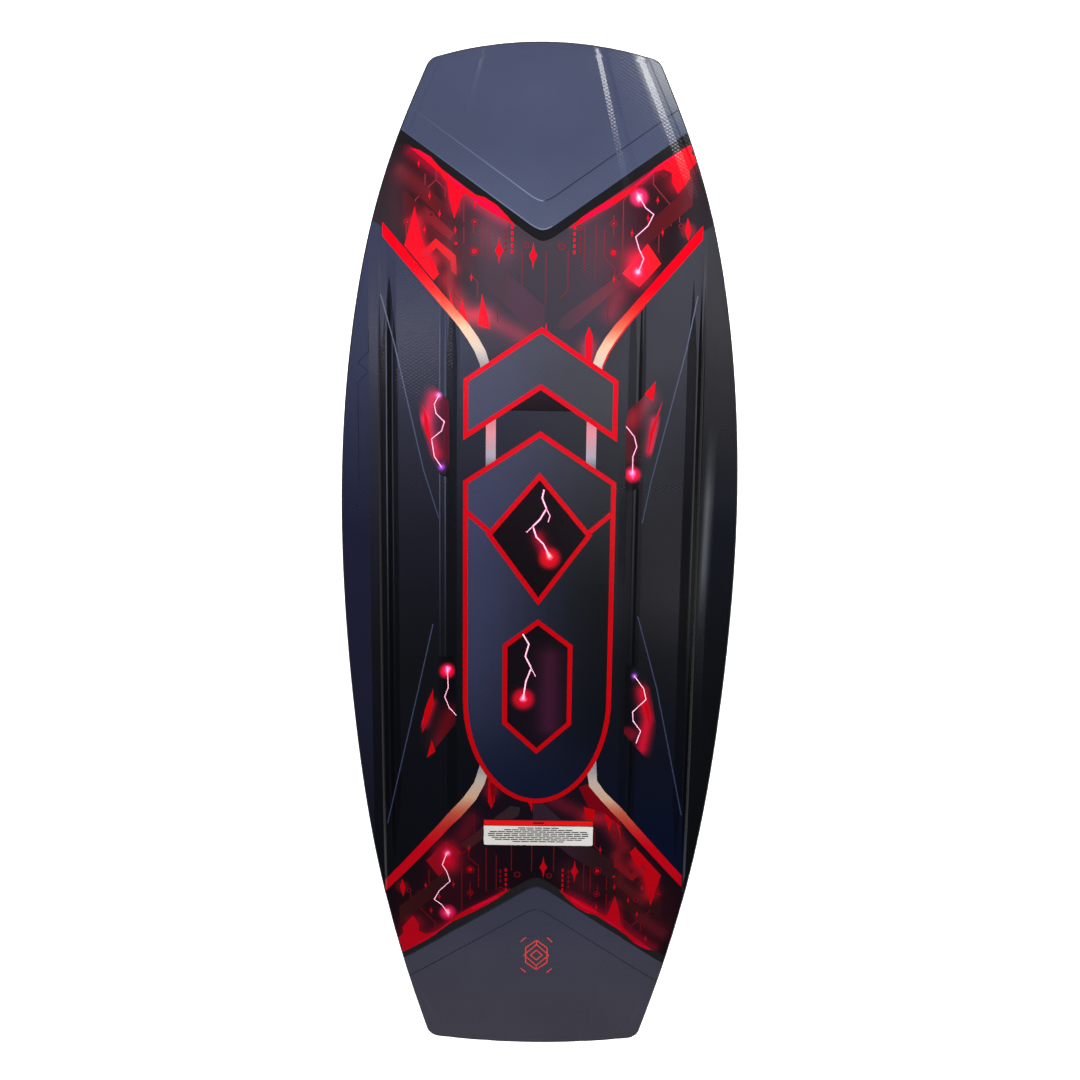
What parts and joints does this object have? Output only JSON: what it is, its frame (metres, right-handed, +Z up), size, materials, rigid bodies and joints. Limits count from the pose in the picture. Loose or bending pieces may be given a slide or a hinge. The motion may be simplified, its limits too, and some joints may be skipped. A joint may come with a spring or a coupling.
{
  "type": "wakeboard",
  "caption": "Short wide wakeboard with squared tips, a channelled graphic base and flush threaded binding inserts in the deck, lying base up.",
  "frame": {"origin": "on the ground under the middle of the board, as it lies base up on its two tips", "axes": "+X across the board, +Y towards the nose, +Z up out of the base"},
  "size_m": [0.4426, 1.188, 0.066],
  "materials": {
    "base_print": "printed base sheet over woven cloth, gloss clear coat, blue-black with red graphics",
    "deck_print": "printed deck sheet with a fine satin texture",
    "rail_urethane": "cast black urethane rail, satin",
    "glass_laminate": "resin-wet triaxial glass",
    "glass_patch": "glass mat patch",
    "carbon_stringer": "cured carbon tape on edge",
    "paulownia": "sanded paulownia strips",
    "insert_block": "dense beech ply block",
    "insert_brass": "turned brass",
    "label_vinyl": "printed vinyl sticker with plain bars",
    "emblem_vinyl": "vinyl sticker with a plain geometric mark"
  },
  "bodies": {
    "root": {"base_label": "label_vinyl", "base_laminate": "glass_laminate", "base_sheet": "base_print", "core_centre": "paulownia", "core_channel_strip_left": "paulownia", "core_channel_strip_right": "paulownia", "core_inner_left": "paulownia", "core_inner_right": "paulownia", "core_insert_strip_left": "paulownia", "core_insert_strip_right": "paulownia", "core_outer_left": "paulownia", "core_outer_right": "paulownia", "deck_laminate": "glass_laminate", "deck_sheet": "deck_print", "nose_foot_patch": "glass_patch", "nose_insert_block_left": "insert_block", "nose_insert_block_right": "insert_block", "nose_inserts_left": "insert_brass", "nose_inserts_right": "insert_brass", "nose_rail": "rail_urethane", "rail_left": "rail_urethane", "rail_right": "rail_urethane", "stringer_left": "carbon_stringer", "stringer_right": "carbon_stringer", "tail_emblem": "emblem_vinyl", "tail_foot_patch": "glass_patch", "tail_insert_block_left": "insert_block", "tail_insert_block_right": "insert_block", "tail_inserts_left": "insert_brass", "tail_inserts_right": "insert_brass", "tail_rail": "rail_urethane"}
  },
  "joints": []
}
